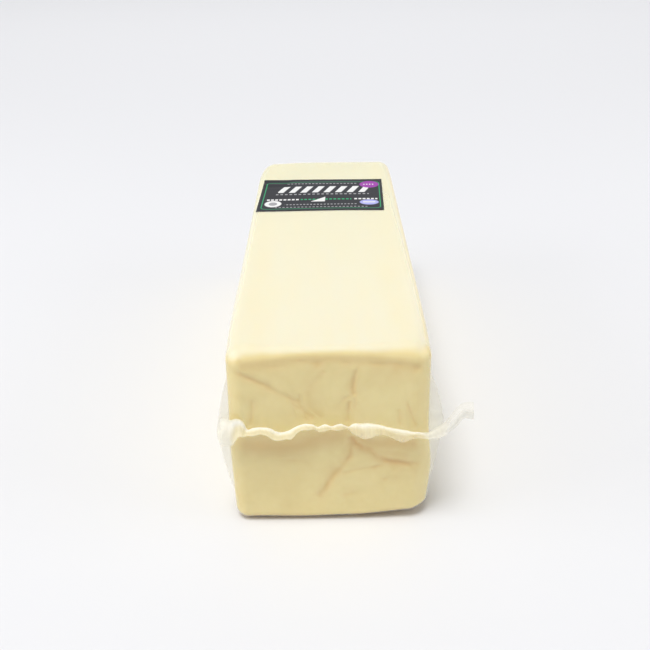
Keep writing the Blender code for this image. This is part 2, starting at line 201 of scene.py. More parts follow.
# Seal stations from left to right, in mm: the root's x and z, the free edge's x and
# z, and how far each of the two stands out of the end face.
FRONT_SEAM = (
    (-48.9, 51, -49.3, 51.5, -5.6, 1.5),
    (-48.2, 55, -48.7, 49, -4.5, 3.5),
    (-46.2, 57.8, -46.6, 47, -1, 4.5),
    (-43.2, 58, -43.2, 46.8, 0.8, 5),
    (-40.2, 58.3, -40.7, 50.4, 0.6, 5.5),
    (-37.7, 56.4, -38.8, 52.4, 0, 6),
    (-35.9, 52.2, -36.4, 52.8, 0, 6),
    (-33.4, 52.9, -33.6, 52.4, 0, 6),
    (-30, 53.2, -29.8, 53.9, 0, 6),
    (-26, 52.6, -27, 52.2, 0, 6),
    (-23.2, 50.9, -23.8, 50.4, 0, 6),
    (-20.4, 50.4, -20, 50.2, 0, 6),
    (-17.1, 51.6, -16.6, 51, 0, 6),
    (-14, 53.4, -13.8, 53.6, 0, 6),
    (-10.4, 54.5, -10.6, 55.2, 0, 6),
    (-7.4, 54.1, -7.4, 55.4, 0, 6),
    (-4.8, 52.9, -4.8, 54.8, 0, 6),
    (-1.6, 54, -1.6, 54.6, 0, 6),
    (1.6, 52.8, 1.4, 55, 0, 6),
    (5.2, 54.2, 5, 55.1, 0, 6),
    (8.6, 52.5, 8.4, 55.2, 0, 6),
    (10.8, 54.2, 10.6, 52.8, 0, 6),
    (14, 54.3, 13.6, 51, 0, 6.5),
    (17.6, 54.4, 17.6, 50.5, 0, 6.5),
    (22.2, 53.5, 22.6, 51.7, 0, 6),
    (26.2, 52.1, 25.8, 51.5, 0, 6),
    (29.7, 51.2, 29, 49.2, 0, 6),
    (33.7, 50.4, 32.8, 48.4, 0, 6),
    (37.4, 49.4, 37.2, 49.4, 0, 6),
    (41.4, 48.6, 41.2, 49.6, -0.5, 5.5),
    (45, 46.8, 44.8, 48.8, -3.5, 5),
    (48, 47.6, 48.6, 49.4, -5.6, 4.5),
    (51.2, 54.4, 52.4, 50.8, 0, 4),
    (54.2, 60.8, 55.4, 54.2, 2, 4),
    (57.4, 65.2, 58.2, 58, 2.5, 4),
    (60.2, 66.2, 60.6, 58.6, 2.5, 4),
    (62.8, 66, 63.15, 58.2, 2.5, 4),
)
REAR_SEAM = (
    (-48.6, 48.5, -48, 51, -5.6, 3),
    (-45, 46.6, -44.6, 48.2, -3.5, 5),
    (-41, 46, -40.5, 46.6, -0.5, 6),
    (-36, 46.2, -36, 45.6, 0, 7),
    (-30, 48.2, -30, 48.4, 0, 6),
    (-22, 49.4, -22, 48.4, 0, 7.5),
    (-14, 47.4, -14, 47.8, 0, 6.5),
    (-5, 46.2, -5, 45.4, 0, 7),
    (4, 47.2, 4, 47, 0, 6.5),
    (12, 49.4, 12, 48.6, 0, 7.5),
    (21, 49, 21, 49.6, 0, 6),
    (29, 46.6, 29, 46, 0, 7),
    (36, 46.6, 36, 47, 0, 6.5),
    (41.4, 47.8, 40.8, 47.8, -0.5, 6),
    (45.4, 48.6, 45, 47.6, -3.5, 5),
    (49, 48, 48.4, 45.8, -5.6, 3),
)
# Ears: z where each starts and ends, z and x of its point, all in mm, and how full
# it is, from a peak at its point to an even arc.
FRONT_EARS = {LEFT: (14, 77, 47.5, 50.5, 0.75), RIGHT: (20, 76.5, 52.5, 51.6, 0.85)}
REAR_EARS = {LEFT: (22, 71, 46.5, 49.6, 0.6), RIGHT: (20, 70, 46.0, 49.8, 0.6)}

# Sheets are crisp where they turn by more than this.
RIM_ANGLE = math.radians(50)
SEAL_CELLS = (560, 18)
SEAL_FILM = 0.10 * MM
SEAL_ROOT_PLANE = LOAF_LENGTH / 2 + 0.1 * MM
SEAL_WAVE = 0.3 * MM
SEAL_WAVE_COUNT = 17
# How long and how deep the strip is to the noise that rumples it.
SEAL_RUN = (0.2, 0.002)
SWELL_SIZE = 7 * MM
PLEAT = 0.2 * MM
PLEAT_SIZE = 3.2 * MM
CRIMP = 0.07 * MM
CRIMP_SIZE = 1.3 * MM
# The rounded ridge near the root, on the face and off it: (share across, spread).
ROOT_RIDGE = 0.6 * MM
FACE_RIDGE = (0.2, 0.16)
TAIL_RIDGE = (0.5, 0.16)
# Off the face the strip bows out between its edges, in mm.
BOW = 1.2
BOW_RUMPLE = 0.8
BOW_SPREAD = 0.3
# Past this distance from the middle the seal leaves the face it was pressed to.
FACE_REACH = (40 * MM, 44 * MM)
TAIL_START = (50 * MM, 54 * MM)
# Milkiness of the strip on the face, fuller on the left, and off the face.
FACE_MILK, LEAF_DROP, SWELL_MILK = 0.40, 0.12, 0.08
LEFT_FULLNESS, FULLNESS_DROP = 1.9, 1.15
FULLNESS_REACH = (-25 * MM, 15 * MM)
LOOP_MILK, TAIL_MILK = 0.48, 0.22
RIDGE_MILK, TAIL_RIDGE_DROP = 0.45, 0.30
RIM_MILK = 0.08
PLEAT_MILK, CRIMP_MILK = 0.06, 0.03
CLEAR_FLAP = 0.75
EDGE_CLEAR = 0.9
OFF_FACE_CREAM = 0.1

EAR_CELLS = (20, 120)
EAR_FILM = 0.025 * MM
EAR_SET_BACK = 5.2 * MM
EAR_GAP = 0.3 * MM
EAR_SWAY = 0.7 * MM
EAR_ROOT = 1.6 * MM
EAR_LEAST = 0.6 * EAR_ROOT
# The folds that fan out from an ear's point, and the slow waves of the web.
FAN_SPREAD = 5 * MM
FAN_OPENING = 3 * MM
FAN_RUN, FAN_SIZE = 6 * MM, 3 * MM
WEB_RUN, WEB_SIZE = 2 * MM, 11 * MM
EAR_HAZE = {LEFT: 0.23, RIGHT: 0.27}
EAR_ROOT_MILK = 0.12
POINT_MILK, POINT_SPREAD = 0.40, 7 * MM
FAN_MILK = 0.35

# The label, lying on the film near the far end.
LABEL_WIDTH = 77.5 * MM
LABEL_DEPTH = 61.2 * MM
LABEL_MIDDLE = (-2.2 * MM, 64.7 * MM)
LABEL_TURN = math.radians(-2.0)
LABEL_PAPER = 0.14 * MM
LABEL_LIFT = 0.05 * MM
LABEL_CELLS = (130, 104)
LABEL_PUCKER = 2.4 * MM
PUCKER_ACROSS = (0.22, 0.32)
PUCKER_DEEP = (0.1, 0.5)
PUCKER_RISE = 0.25
PUCKER_WAVES = 40
BUCKLE, BUCKLE_SIZE = 0.10 * MM, 9 * MM

# The camera, fitted to the loaf's corners. Its frame and focus are in pixels.
FRAME_SIDE = 650
CAMERA_PLACE = (1.2 * MM, -458.8 * MM, 265.6 * MM)
CAMERA_PITCH = math.radians(27.04)
CAMERA_YAW = math.radians(0.33)
CAMERA_ROLL = math.radians(-1.27)
CAMERA_FOCUS = 859.1
SENSOR = 36.0


# ---- shape helpers

def ease(value, low, high):
    """0 below low, 1 above high, and smooth between."""
    share = np.clip((value - low) / (high - low), 0.0, 1.0)
    return share * share * (3 - 2 * share)


def bell(offset, spread):
    """1 at no offset, falling away smoothly over the spread."""
    return np.exp(-(offset / spread) ** 2)


def soft_noise(points, size, seed=0.0):
    """Smooth noise from about -1 to 1 at each point: lumps of a size, by a seed."""
    shift = Vector((seed * 7.3, seed * 3.1, seed * 5.7))
    return np.array([noise.noise(Vector(point) / size + shift) for point in points])


def read_points(piece):
    """The piece's vertices as rows of x, y and z."""
    flat = np.empty(len(piece.data.vertices) * 3, np.float32)
    piece.data.vertices.foreach_get("co", flat)
    return flat.reshape(-1, 3).astype(float)


def write_points(piece, points):
    """Move the piece's vertices to new places."""
    piece.data.vertices.foreach_set("co", points.astype(np.float32).ravel())
    piece.data.update()


def write_mask(piece, name, values):
    """Store a value at each vertex, for the piece's material to read."""
    layer = piece.data.attributes.new(name, "FLOAT", "POINT")
    layer.data.foreach_set("value", np.clip(values, 0.0, 1.0).astype(np.float32))


def select_only(piece):
    """Make one piece the selected, active one."""
    bpy.ops.object.select_all(action="DESELECT")
    piece.select_set(True)
    bpy.context.view_layer.objects.active = piece


def apply_all_modifiers(piece):
    """Bake the piece's modifiers into its mesh."""
    select_only(piece)
    for modifier in list(piece.modifiers):
        bpy.ops.object.modifier_apply(modifier=modifier.name)


def solidify(piece, thickness):
    """Give a sheet its thickness, to both sides alike, with crisp rims."""
    wall = piece.modifiers.new("wall", "SOLIDIFY")
    wall.thickness = thickness
    wall.offset = 0.0
    apply_all_modifiers(piece)
    piece.data.shade_smooth()
    piece.data.set_sharp_from_angle(angle=RIM_ANGLE)


# ---- the loaf's form

def corner_radius(box):
    """The rounding at points of the box: larger at the upright edges and some corners."""
    near_x, near_y = [ease(np.abs(box[:, axis]), HALF[axis] - CORNER_REACH, HALF[axis])
                      for axis in (0, 1)]
    radius = EDGE_RADIUS + UPRIGHT_EXTRA * near_x * near_y
    for sides, extra in CORNER_EXTRA.items():
        share = np.ones(len(box))
        for axis, side in enumerate(sides):
            share *= ease(side * box[:, axis], HALF[axis] - CORNER_REACH, HALF[axis])
        radius += extra * share
    return radius


def distance_to_path(spots, path):
    """How far points of an end face are from a crease, in mm."""
    nearest = np.full(len(spots), np.inf)
    for start, end in zip(path, path[1:]):
        start = np.array(start, float)
        along = np.array(end, float) - start
        share = np.clip((spots - start) @ along / (along @ along), 0.0, 1.0)
        foot = start + share[:, None] * along
        nearest = np.minimum(nearest, np.linalg.norm(spots - foot, axis=1))
    return nearest


def crease_relief(x, z, creases, hollows, widen):
    """How deep, in mm, the creases and hollows are at points of an end face."""
    spots = np.column_stack((x, z)) / MM
    flat = np.column_stack((x, np.zeros(len(x)), z))
    for size, stray in CREASE_STRAYS:
        spots[:, 0] += stray * soft_noise(flat, size, 1)
        spots[:, 1] += stray * soft_noise(flat, size, 2)
    faint = FAINT_MEAN + FAINT_RANGE * soft_noise(flat, FAINT_SIZE, 15)
    broad = 1 + BROAD_RANGE * soft_noise(flat, BROAD_SIZE, 16)
    deepest = np.zeros(len(x))
    for depth, half_width, path in creases:
        reach = distance_to_path(spots, path) / (widen * broad)
        section = sum(share * bell(reach, spread * half_width)
                      for share, spread in CREASE_BELLS)
        deepest = np.maximum(deepest, depth * section)
    deepest *= faint
    for depth, half_width, path in hollows:
        deepest = np.maximum(deepest, depth * bell(distance_to_path(spots, path), half_width))
    return deepest


def side_bulge(side, z):
    """How far a long side bellies out at a height."""
    swell, bulge, height, spread = SIDE_SWELL[side]
    return swell + bulge * bell(z - height, spread)


def top_wave(x, y):
    """Slow unevenness of the cut top."""
    start_x, start_y = TOP_WAVE_START
    return TOP_WAVE * np.sin(x / TOP_WAVE_X + start_x) * np.sin(y / TOP_WAVE_Y + start_y)


def front_lift(x, y):
    """How far the underside is off the table, most towards the front right corner."""
    rise = sum(lift * ease(x, start, end) for start, end, lift in FRONT_LIFTS)
    return rise * ease(-y, LIFT_START, HALF[1])


def round_box(box):
    """Places on the rounded loaf, and which way each looks, before any relief."""
    radius = corner_radius(box)[:, None]
    core = np.clip(box, radius - HALF, HALF - radius)
    outward = box - core
    outward /= np.linalg.norm(outward, axis=1)[:, None]
    points = core + outward * radius
    points[:, 2] += HALF[2]
    return points, outward


def shape_loaf(box, inset):
    """Move the points of a square box on to the loaf, a little under its surface."""
    points, outward = round_box(box)
    x, y, z = points.T.copy()
    bulge = np.where(x > 0, side_bulge(RIGHT, z), -side_bulge(LEFT, z))
    points[:, 0] += outward[:, 0] ** 2 * bulge
    points[:, 2] += np.maximum(outward[:, 2], 0.0) ** EDGE_FADE * top_wave(x, y)
    points[:, 2] += np.maximum(-outward[:, 2], 0.0) * front_lift(x, y)
    wobble = FACE_WOBBLE * (soft_noise(points, WOBBLE_SIZE, 3) - 1) / 2
    wobble *= 1 - np.maximum(-outward[:, 2], 0.0)
    points += outward * (wobble - inset)[:, None]
    return points, outward


def square_block(name):
    """A box of the loaf's size, cut into fine cells that crowd to its edges."""
    bpy.ops.object.select_all(action="DESELECT")
    bpy.ops.mesh.primitive_cube_add(size=1, scale=(LOAF_WIDTH, LOAF_LENGTH, LOAF_HEIGHT))
    block = bpy.context.object
    block.name = name
    bpy.ops.object.transform_apply(location=True, rotation=True, scale=True)
    for axis, cells in enumerate(LOAF_CELLS):
        cut_across(block, axis, cells // 2 - 1)
        cut_across(block, axis, 1)
    box = read_points(block)
    for axis, crowding in enumerate(LOAF_CROWDING):
        place = box[:, axis] / HALF[axis]
        crowded = (1 - crowding) * place + crowding * np.sin(place * math.pi / 2)
        box[:, axis] = HALF[axis] * crowded
    return block, box


def cut_across(block, axis, cuts):
    """Cut every edge that runs along one axis, which makes loops all round."""
    select_only(block)
    bpy.ops.object.mode_set(mode="EDIT")
    bpy.ops.mesh.select_mode(type="EDGE")
    bpy.ops.mesh.select_all(action="DESELECT")
    shape = bmesh.from_edit_mesh(block.data)
    for edge in shape.edges:
        run = edge.verts[1].co - edge.verts[0].co
        edge.select_set(abs(run[axis]) > PARALLEL * run.length)
    bmesh.update_edit_mesh(block.data)
    bpy.ops.mesh.subdivide(number_cuts=cuts)
    bpy.ops.object.mode_set(mode="OBJECT")


def end_relief(points, outward, depth_share, widen):
    """How far in each point goes for the creases of its end, in metres."""
    x, _, z = points.T
    front = crease_relief(x, z, FRONT_CREASES, FRONT_SHADED_HOLLOWS, widen) * (outward[:, 1] < 0)
    rear = crease_relief(x, z, REAR_CREASES, (), widen) * (outward[:, 1] > 0)
    squarely = np.abs(outward[:, 1]) ** EDGE_FADE
    return depth_share * MM * (front + rear) * squarely


def painted_top_sheen(points, outward):
    """How much painted sheen lightens each point: all of the top, down to an uneven line past
    its edges.
    """
    x = points[:, 0]
    uneven = soft_noise(points * (1, 0.3, 1), SHEEN_UNEVEN_SIZE, 17)
    start = SHEEN_START + SHEEN_UNEVEN * uneven - SHEEN_LEFT_DROP * ease(-x, *SHEEN_LEFT_REACH)
    drawn = points * (1, 0.2, 1)
    streaks = soft_noise(drawn, STREAK_SIZE, 18)
    streaks += 0.5 * soft_noise(drawn, FINE_STREAK_SIZE, 19)
    bands = bell(np.abs(x) - BAND_PLACE, BAND_SPREAD)
    pale = TOP_SHEEN + SHEEN_STREAKS * streaks - SHEEN_SIDE_DROP * bands
    return pale * ease(outward[:, 2] - start, 0.0, SHEEN_BLEND)


def make_cheese(finish):
    """The block of cheddar: its end faces are creased where its curds part."""
    loaf, box = square_block("cheese_loaf")
    points, outward = shape_loaf(box, CHEESE_INSET)
    relief = end_relief(points, outward, *CHEESE_CREASING)
    points[:, 1] -= np.sign(outward[:, 1]) * relief
    write_points(loaf, points)
    # Painted shade: creases, hollows and the underside are tinted darker and warmer.
    crease_shade = end_relief(points, outward, *SHADE_TINT_CREASING)
    under = UNDER_SHADE * ease(-outward[:, 2], *UNDER_SLOPE)
    write_mask(loaf, "crease", np.maximum(crease_shade / (DEEPEST_CREASE * MM), under))
    # Painted sheen: the top is lightened, dimming towards the far end.
    write_mask(loaf, "pale", painted_top_sheen(points, outward))
    write_mask(loaf, "far", (0.5 + 0.5 * points[:, 1] / HALF[1]) ** SHEEN_FAR_FADE)
    loaf.data.materials.append(finish)
    loaf.data.shade_smooth()
    place_piece(loaf, "cheese_block")


def seam_height(x, stations):
    """The height of the seal's root across an end face."""
    on_face = [station for station in stations if station[4] == 0]
    across = np.array([station[0] for station in on_face]) * MM
    heights = np.array([station[1] for station in on_face]) * MM
    return np.interp(x, across, heights)


def gathers(x, z, stations, seed):
    """Film gathered into soft ridges above and below the seal, and its haze."""
    above = z - seam_height(x, stations)
    lean = x + GATHER_LEAN * above
    flat = np.column_stack((lean, above * GATHER_RUN, np.zeros(len(x))))
    ridges = np.maximum(soft_noise(flat, GATHER_SIZE, seed), 0.0)
    near = bell(above, GATHER_REACH) * ease(np.abs(above), 0.0, GATHER_GAP)
    drawn = MIDDLE_GATHERS + (1 - MIDDLE_GATHERS) * ease(np.abs(x), *GATHER_SIDES)
    rise = GATHER_DEPTH * ridges * near * drawn + TENT_RISE * bell(above, TENT_SPREAD)
    return rise, GATHER_HAZE * ridges * near * drawn


def edge_ripples(points, outward):
    """Film rumpled where it turns over the edges of both ends."""
    x, y, z = points.T
    from_end = HALF[1] - np.abs(y)
    flat = np.column_stack((x, y * 0.12, z))
    ripples = soft_noise(flat, RIPPLE_SIZE, 6) * bell(from_end, RIPPLE_REACH)
    lines = soft_noise(flat * (1, 0.5, 1), LINE_SIZE, 7) * bell(from_end, LINE_REACH)
    off_end = 1 - np.abs(outward[:, 1]) ** 2
    rise = np.maximum(RIPPLE_RISE * ripples + LINE_RISE * lines, RIPPLE_DIP)
    return rise * MM * off_end


def make_film_skin(finish):
    """The clear film drawn tight over the cheese."""
    skin, box = square_block("film_skin")
    points, outward = shape_loaf(box, FILM_INSET)
    relief = end_relief(points, outward, *FILM_CREASING)
    x, _, z = points.T
    front_out, front_haze = gathers(x, z, FRONT_SEAM, 4)
    rear_out, rear_haze = gathers(x, z, REAR_SEAM, 5)
    squarely = np.abs(outward[:, 1]) ** EDGE_FADE
    at_front = outward[:, 1] < 0
    relief -= squarely * np.where(at_front, front_out, rear_out)
    points[:, 1] -= np.sign(outward[:, 1]) * relief
    points += outward * edge_ripples(points, outward)[:, None]
    points[:, 2] = np.maximum(points[:, 2], FILM_INSET)
    write_points(skin, points)
    write_mask(skin, "milk", squarely * np.where(at_front, front_haze, rear_haze))
    skin.data.materials.append(finish)
    skin.data.shade_smooth()
    place_piece(skin, "cheese_block")


# ---- the loose film

def along_stations(stations, share):
    """Smooth values between stations, at shares of the way along them."""
    table = np.array(stations, float)
    last = len(table) - 1
    place = share * last
    index = np.minimum(place.astype(int), last - 1)
    part = (place - index)[:, None]
    before, start, end, after = [
        table[np.clip(index + shift, 0, last)] for shift in (-1, 0, 1, 2)]
    return start + 0.5 * part * (
        end - before + part * (
            2 * before - 5 * start + 4 * end - after
            + part * (3 * (start - end) + after - before)))


def new_sheet(name, cells):
    """A flat grid with shares 0 to 1 along and across it."""
    bpy.ops.object.select_all(action="DESELECT")
    bpy.ops.mesh.primitive_grid_add(x_subdivisions=cells[0], y_subdivisions=cells[1], size=2)
    sheet = bpy.context.object
    sheet.name = name
    grid = read_points(sheet)
    return sheet, (grid[:, 0] + 1) / 2, (grid[:, 1] + 1) / 2


def ridge_at(across, ridge):
    """A ridge along the seal, at a share of the way across it."""
    middle, spread = ridge
    return bell(across - middle, spread)


def make_seal(name, stations, end, node, finish):
    """The crimped strip where the pouch was welded shut, standing out of one end."""
    seal, along, across = new_sheet(name, SEAL_CELLS)
    values = along_stations(stations, along) * MM
    root_x, root_z, free_x, free_z, root_out, free_out = values.T
    off_face = ease(np.abs(root_x), *FACE_REACH)
    tail = ease(root_x, *TAIL_START)
    length, depth = SEAL_RUN
    run = np.column_stack((along * length, np.zeros(len(along)), across * depth))
    swell = soft_noise(run, SWELL_SIZE, 8)
    fine = soft_noise(run, PLEAT_SIZE, 9)
    crimp = soft_noise(run, CRIMP_SIZE, 10) * (1 - tail)
    fine *= 1 - 0.8 * tail
    reach = root_out + (free_out - root_out) * across * (1 - 0.12 * swell * across)
    x = root_x + (free_x - root_x) * across
    z = root_z + (free_z - root_z) * across
    wave = SEAL_WAVE * np.sin(math.tau * SEAL_WAVE_COUNT * along)
    z += (wave + PLEAT * fine) * across
    z += ROOT_RIDGE * (1 + 0.6 * fine) * ridge_at(across, FACE_RIDGE) * (1 - off_face)
    z += CRIMP * crimp * (0.4 + across)
    reach += CRIMP * crimp
    reach += (BOW + BOW_RUMPLE * fine) * MM * bell(across - 0.5, BOW_SPREAD) * off_face
    write_points(seal, np.column_stack((x, end * (SEAL_ROOT_PLANE + reach), z)))
    ridge = ridge_at(across, FACE_RIDGE) * (1 - tail) + ridge_at(across, TAIL_RIDGE) * tail
    leaf = ease(across, 0.3, 0.6)
    fuller = LEFT_FULLNESS - FULLNESS_DROP * ease(root_x, *FULLNESS_REACH)
    on_face = (FACE_MILK - LEAF_DROP * leaf + SWELL_MILK * swell) * fuller
    body = on_face * (1 - off_face) + np.where(x < 0, LOOP_MILK, TAIL_MILK) * off_face
    crest = RIDGE_MILK - TAIL_RIDGE_DROP * off_face * (x > 0)
    rim = RIM_MILK * bell(across - 1, 0.12) * off_face
    milk = body + crest * ridge + rim + PLEAT_MILK * fine + CRIMP_MILK * crimp
    milk *= 1 - CLEAR_FLAP * tail * (1 - leaf)
    milk *= 1 - EDGE_CLEAR * ease(across, 0.93, 1.0)
    write_mask(seal, "milk", milk)
    write_mask(seal, "cream", (1 - off_face) * (1 - ridge) + OFF_FACE_CREAM * off_face)
    solidify(seal, SEAL_FILM)
    seal.data.materials.append(finish)
    place_piece(seal, node)


def upright_edge(side, end, z):
    """How far out in x the loaf's upright edge is, at the plane of the ears."""
    depth = np.full(len(z), end * HALF[1])
    width = np.full(len(z), side * HALF[0])
    radius = corner_radius(np.column_stack((width, depth, z - HALF[2])))
    rise = np.sqrt(radius ** 2 - np.maximum(radius - EAR_SET_BACK, 0.0) ** 2)
    return HALF[0] - radius + rise + side_bulge(side, z)


def make_ear(name, side, end, ear, node, finish):
    """The web of loose film that stands out of an upright edge."""
    web, across, along = new_sheet(name, EAR_CELLS)
    low, high, point_z, point_x = [value * MM for value in ear[:4]]
    full = ear[4]
    z = low + (high - low) * along
    inner = upright_edge(side, end, z) - EAR_ROOT
    rising = np.where(z < point_z, (z - low) / (point_z - low), (high - z) / (high - point_z))
    rising = np.clip(rising, 0.0, 1.0)
    flare = full * np.sin(rising * math.pi / 2) ** 0.8 + (1 - full) * rising ** 3
    outer = inner + EAR_LEAST + (point_x - inner - EAR_LEAST) * flare
    seed = 11 + side + 3 * end
    turn = np.arctan2(z - point_z, FAN_SPREAD + FAN_OPENING * (1 - across))
    still = np.zeros(len(z))
    fan = soft_noise(np.column_stack((turn * FAN_RUN, still, still)), FAN_SIZE, seed)
    slow = soft_noise(np.column_stack((across * WEB_RUN, still, z)), WEB_SIZE, seed + 5)
    x = inner + (outer - inner) * across
    sway = EAR_SWAY * (slow + 0.5 * fan) * across ** 0.7
    y = HALF[1] - EAR_SET_BACK - EAR_GAP + sway
    write_points(web, np.column_stack((side * x, end * y, z)))
    gathered = POINT_MILK * bell(z - point_z, POINT_SPREAD) * (1 - 0.4 * across)
    milk = EAR_HAZE[side] + EAR_ROOT_MILK * (1 - across) + gathered
    milk *= (1 + FAN_MILK * fan) * (1 - ease(across, 0.9, 1.0))
    write_mask(web, "milk", milk)
    solidify(web, EAR_FILM)
    web.data.materials.append(finish)
    place_piece(web, node)


# ---- the label

def label_height(x, y):
    """The height of the film's top under the label."""
    box = np.column_stack((x, y, np.full(len(x), HALF[2])))
    points, _ = shape_loaf(box, FILM_INSET)
    return points[:, 2]


def make_label(finish):
    """The printed sheet, which follows the loaf's top and puckers at one corner."""
    sheet, across, deep = new_sheet("pack_label", LABEL_CELLS)
    u = across - 0.5
    v = deep - 0.5
    pucker = LABEL_PUCKER * ease(-u, *PUCKER_ACROSS) * ease(v, *PUCKER_DEEP)
    along = u * LABEL_WIDTH
    back = v * LABEL_DEPTH - pucker
    x = LABEL_MIDDLE[0] + along * math.cos(LABEL_TURN) - back * math.sin(LABEL_TURN)
    y = LABEL_MIDDLE[1] + along * math.sin(LABEL_TURN) + back * math.cos(LABEL_TURN)
    z = label_height(x, y) + LABEL_LIFT
    flat = np.column_stack((x, y, np.zeros(len(x))))
    z += BUCKLE * np.maximum(soft_noise(flat, BUCKLE_SIZE, 14), 0.0)
    z += PUCKER_RISE * pucker * (0.5 + 0.5 * np.sin(deep * PUCKER_WAVES))
    write_points(sheet, np.column_stack((x, y, z + LABEL_PAPER / 2)))
    solidify(sheet, LABEL_PAPER)
    sheet.data.materials.append(finish)
    place_piece(sheet, "label")


def place_piece(piece, node):
    """Tie a finished piece to the frame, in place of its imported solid."""
    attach(piece, "root")
    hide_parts(node)


# ---- finishes

def add_node(tree, kind, sockets=None, **settings):
    """Place a node, set it up, and fill its sockets by value or by link."""
    made = tree.nodes.new(kind)
    for name, value in settings.items():
        setattr(made, name, value)
    for name, value in (sockets or {}).items():
        if isinstance(value, bpy.types.NodeSocket):
            tree.links.new(value, made.inputs[name])
        else:
            made.inputs[name].default_value = value
    return made


def maths(tree, operation, *values, clamp=False):
    """The result of a sum on values or links."""
    return add_node(tree, "ShaderNodeMath", dict(enumerate(values)), operation=operation,
                    use_clamp=clamp).outputs[0]


def tint(tree, share, colour, other):
    """One colour turned into another by a share."""
    return add_node(tree, "ShaderNodeMix", {0: share, 6: colour, 7: other},
                    data_type="RGBA").outputs[2]


def new_finish(name):
    """An empty material, with the object's own coordinates ready."""
    finish = bpy.data.materials.new(name)
    finish.use_nodes = True
    tree = finish.node_tree
    tree.nodes.clear()
    place = add_node(tree, "ShaderNodeTexCoord").outputs["Object"]
    return finish, tree, place


def show(tree, shader):
    """Send a shader to the material's output."""
    out = add_node(tree, "ShaderNodeOutputMaterial")
    tree.links.new(shader, out.inputs["Surface"])


def new_group(name, inputs, outputs):
    """A node group with named sockets, and its inner input and output nodes."""
    group = bpy.data.node_groups.new(name, "ShaderNodeTree")
    for label, kind, value in inputs:
        socket = group.interface.new_socket(label, in_out="INPUT", socket_type=kind)
        if value is not None:
            socket.default_value = value
    for label, kind in outputs:
        group.interface.new_socket(label, in_out="OUTPUT", socket_type=kind)
    return group, add_node(group, "NodeGroupInput"), add_node(group, "NodeGroupOutput")


def make_mottle_group():
    """Soft uneven patches, from 0 to 1 about a half."""
    group, given, out = new_group(
        "soft_mottle",
        (("Vector", "NodeSocketVector", None), ("Scale", "NodeSocketFloat", 40.0)),
        (("Patches", "NodeSocketFloat"),))
    broad = add_node(group, "ShaderNodeTexNoise", {
        "Vector": given.outputs["Vector"], "Scale": given.outputs["Scale"],
        "Detail": 3.0, "Roughness": 0.55, "Distortion": 0.4})
    spread = add_node(group, "ShaderNodeMapRange", {
        "Value": broad.outputs["Fac"], "From Min": 0.3, "From Max": 0.7})
    group.links.new(spread.outputs[0], out.inputs["Patches"])
    return group


def make_folds_group():
    """Soft folds of drawn film, as a height."""
    group, given, out = new_group(
        "film_folds",
        (("Vector", "NodeSocketVector", None), ("Scale", "NodeSocketFloat", 60.0)),
        (("Height", "NodeSocketFloat"),))
    folds = add_node(group, "ShaderNodeTexNoise", {
        "Vector": given.outputs["Vector"], "Scale": given.outputs["Scale"],
        "Detail": 1.5, "Roughness": 0.45, "Distortion": 0.5})
    group.links.new(folds.outputs["Fac"], out.inputs["Height"])
    return group


def use_group(tree, group, **sockets):
    """The result of a group placed in a material, with its own values."""
    return add_node(tree, "ShaderNodeGroup", sockets, node_tree=group).outputs[0]


def mask_of(tree, name):
    """The value stored at the piece's vertices under a name."""
    return add_node(tree, "ShaderNodeAttribute", attribute_name=name).outputs["Fac"]


def stretched(tree, place, scale):
    """Coordinates drawn out, so that a pattern runs along the loaf."""
    return add_node(tree, "ShaderNodeMapping",
                    {"Vector": place, "Scale": scale}).outputs["Vector"]


PALE_CURD = (0.865, 0.74, 0.35, 1.0)
WARM_CURD = (0.75, 0.605, 0.247, 1.0)
# Paler colours that paint a sheen on the top, near and at the far end.
SHEEN_TOP_CURD = (0.79, 0.74, 0.54, 1.0)
SHEEN_FAR_CURD = (0.62, 0.585, 0.30, 1.0)
# A darker, warmer colour that paints shade into creases, hollows and the underside.
CREASE_SHADE_CURD = (0.70, 0.455, 0.15, 1.0)
CURD_PATCHES = 62.0
CURD_GRAIN = 260.0
# Fine marks drawn along the loaf by the cutting wire.
WIRE_MARKS = (330.0, 9.0, 330.0)
# How much each of the three turns pale curd to warm, and how far all of them do.
PATCH_SHARE, GRAIN_SHARE, MARK_SHARE = 0.6, 0.25, 0.3
WARM_SHARE = 0.8
CURD_BUMP = 0.25 * MM
CURD_ROUGHNESS = 0.42
# How far red, green and blue light spread under the surface.
LIGHT_SPREAD = (1.0, 0.62, 0.28)
LIGHT_DEPTH = 3 * MM


